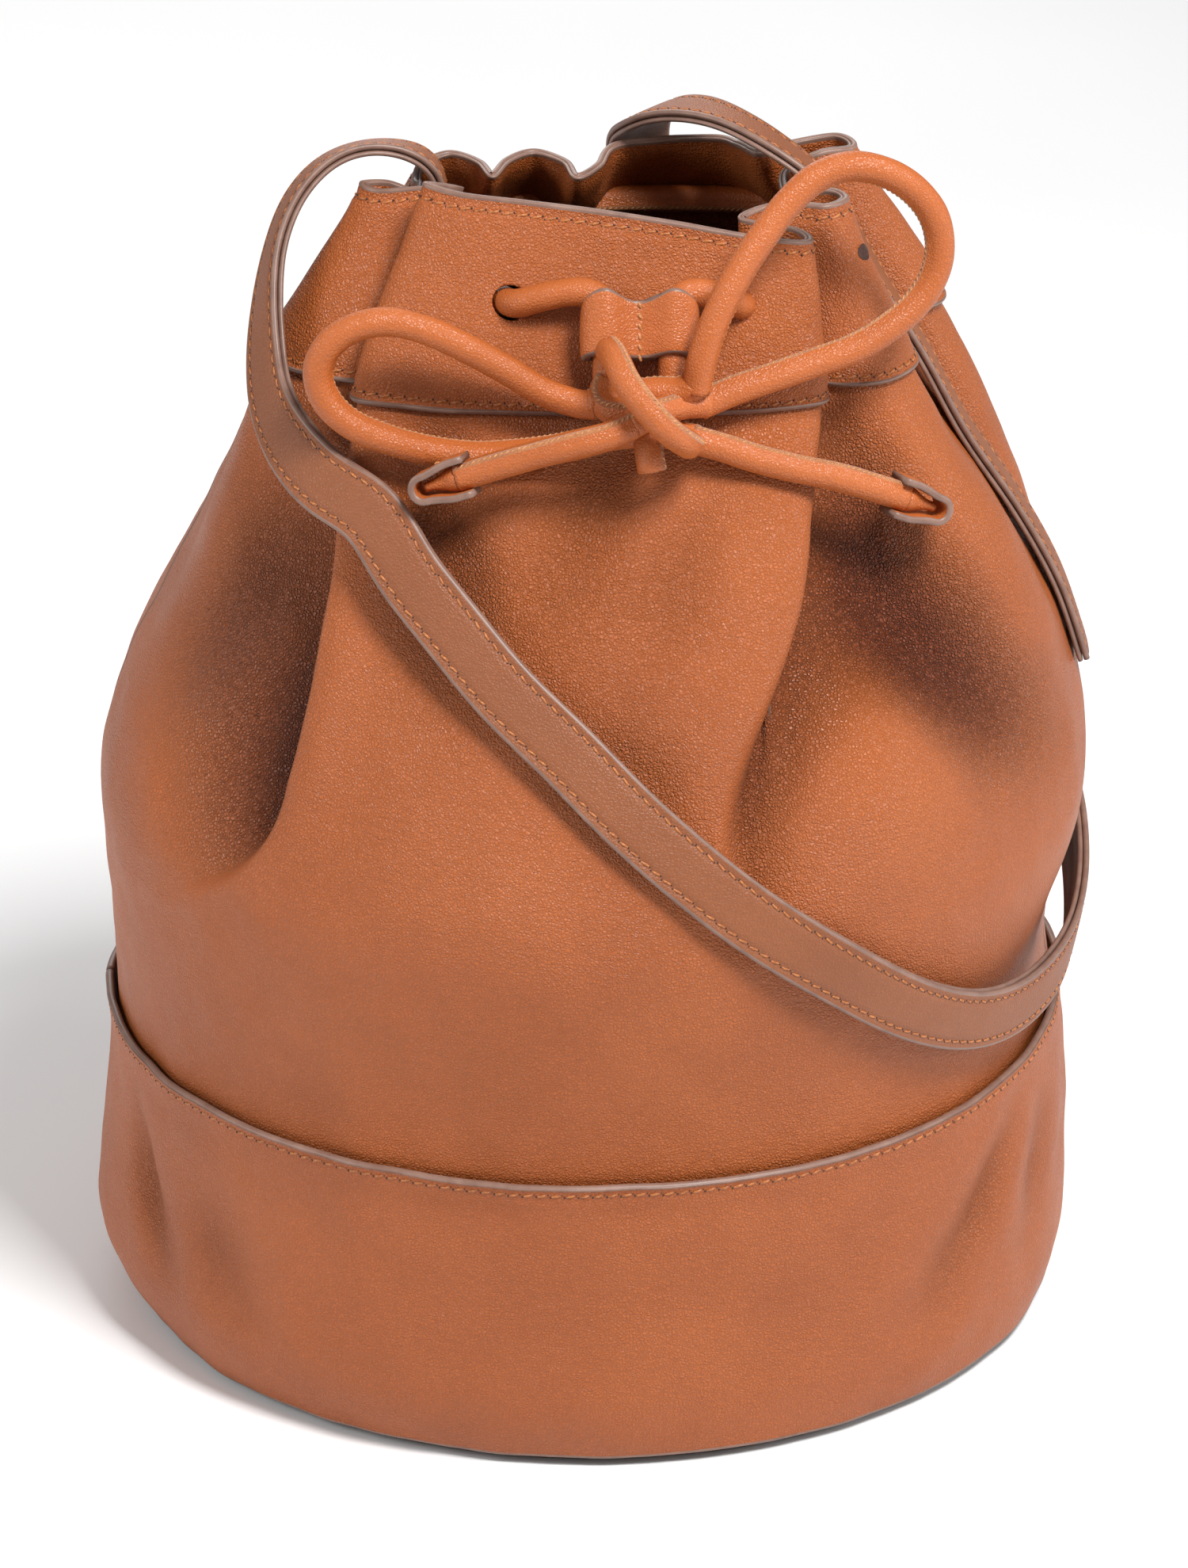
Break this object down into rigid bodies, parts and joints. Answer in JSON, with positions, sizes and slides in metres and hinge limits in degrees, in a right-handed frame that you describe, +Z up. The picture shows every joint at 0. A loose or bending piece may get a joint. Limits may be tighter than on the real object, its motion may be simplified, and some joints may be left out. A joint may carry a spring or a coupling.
{
  "type": "bucket bag",
  "caption": "Leather drawstring bucket bag with a base band, a pleated collar tied by a bow and slider, and a long flat shoulder strap.",
  "frame": {"origin": "centre of the flat bottom face of the base panel", "axes": "+Z up towards the mouth, -Y towards the bow and the front, +X to the right when seen from the front"},
  "size_m": [0.2489, 0.233, 0.3154],
  "materials": {
    "tan_leather": "smooth tan nappa leather, soft sheen",
    "painted_edge": "taupe painted edge",
    "suede_side": "dark brown suede side",
    "board": "stiff fibre board"
  },
  "bodies": {
    "bag": {"base_band_front": "tan_leather", "base_band_back": "tan_leather", "body_front": "tan_leather", "body_back": "tan_leather", "collar_front": "tan_leather", "collar_back": "tan_leather", "drawcord": "tan_leather", "strap_outer": "tan_leather", "base_panel": "painted_edge", "base_lining": "suede_side", "collar_facing_front": "suede_side", "collar_facing_back": "suede_side", "strap_lining": "suede_side", "base_board": "board"},
    "slider_body": {"slider": "tan_leather"},
    "bow": {"bow_knot": "tan_leather"},
    "loop_left": {"bow_loop_left": "tan_leather"},
    "loop_right": {"bow_loop_right": "tan_leather"},
    "tail_left": {"cord_tail_left": "tan_leather", "cord_tip_left": "painted_edge"},
    "tail_right": {"cord_tail_right": "tan_leather", "cord_tip_right": "painted_edge"}
  },
  "joints": [
    {"name": "slider_slide", "type": "slide", "parent": "bag", "child": "slider_body", "axis": [0, -0.353, -0.9356], "range_m": [0, 0.002]},
    {"name": "bow_lift", "type": "hinge", "parent": "bag", "child": "bow", "pos_m": [0.0105, -0.0645, 0.264], "axis": [-1, 0, 0], "range_deg": [0, 12]},
    {"name": "loop_left_swing", "type": "hinge", "parent": "bow", "child": "loop_left", "pos_m": [0.0125, -0.068, 0.258], "axis": [0, 0, 1], "range_deg": [0, 25]},
    {"name": "loop_right_swing", "type": "hinge", "parent": "bow", "child": "loop_right", "pos_m": [0.0125, -0.068, 0.258], "axis": [0, 0, -1], "range_deg": [0, 30]},
    {"name": "tail_left_swing", "type": "hinge", "parent": "loop_left", "child": "tail_left", "pos_m": [0.0125, -0.068, 0.258], "axis": [0, 0, 1], "range_deg": [0, 15]},
    {"name": "tail_right_swing", "type": "hinge", "parent": "bow", "child": "tail_right", "pos_m": [0.0125, -0.068, 0.258], "axis": [0, 0, -1], "range_deg": [0, 40]}
  ]
}
